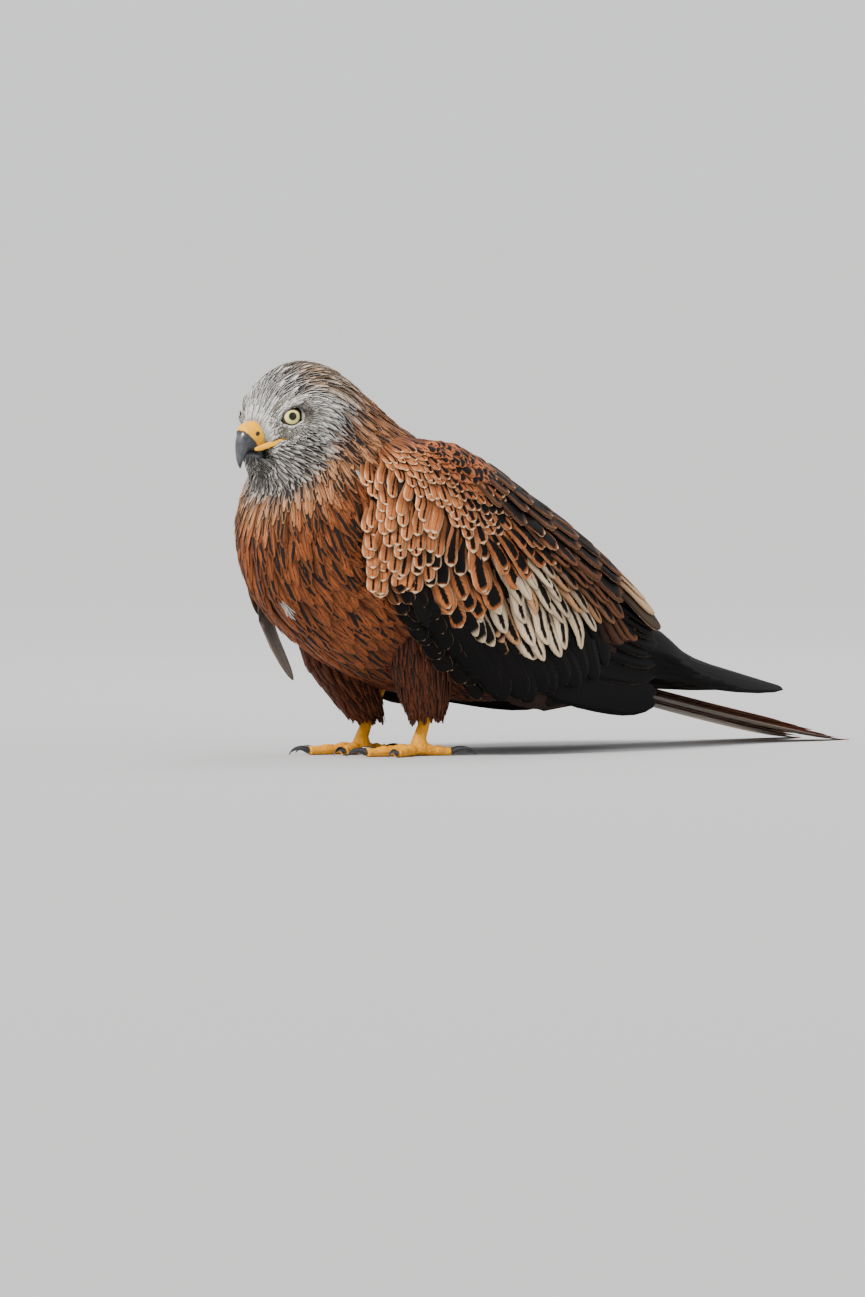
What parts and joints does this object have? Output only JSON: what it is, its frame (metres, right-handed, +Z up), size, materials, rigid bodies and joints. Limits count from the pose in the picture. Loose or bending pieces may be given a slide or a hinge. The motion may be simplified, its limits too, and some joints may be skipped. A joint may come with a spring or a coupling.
{
  "type": "red kite bird",
  "caption": "Life-size red kite standing still, its wings folded and its long forked tail laid out behind it on the ground.",
  "frame": {"origin": "middle of the whole bird's box, on the ground it stands on", "axes": "+Z up; +Y towards the tail, so the bird faces -Y; +X towards the bird's left"},
  "size_m": [0.1676, 0.5484, 0.2684],
  "materials": {
    "head_feathers": "soft grey-white feathers with thin dark streaks",
    "rufous_feathers": "soft rufous feathers with dark streaks",
    "wing_feathers": "firm dark brown and rufous vanes",
    "tail_feathers": "firm rufous vanes, paler below",
    "horn": "smooth black-grey horn",
    "yellow_skin": "bare yellow skin with scales",
    "lid_skin": "dark bare skin",
    "eye_surface": "wet and glossy, pale iris"
  },
  "bodies": {
    "root": {"bill_lower": "horn", "bill_upper": "horn", "cere": "yellow_skin", "claw_left_hind": "horn", "claw_left_inner": "horn", "claw_left_middle": "horn", "claw_left_outer": "horn", "claw_right_hind": "horn", "claw_right_inner": "horn", "claw_right_middle": "horn", "claw_right_outer": "horn", "eye_left": "eye_surface", "eye_right": "eye_surface", "eyelid_left": "lid_skin", "eyelid_right": "lid_skin", "foot_left": "yellow_skin", "foot_right": "yellow_skin", "head": "head_feathers", "neck": "rufous_feathers", "tail": "tail_feathers", "tarsus_left": "yellow_skin", "tarsus_right": "yellow_skin", "thigh_left": "rufous_feathers", "thigh_right": "rufous_feathers", "torso": "rufous_feathers", "wing_left": "wing_feathers", "wing_right": "wing_feathers"}
  },
  "joints": []
}
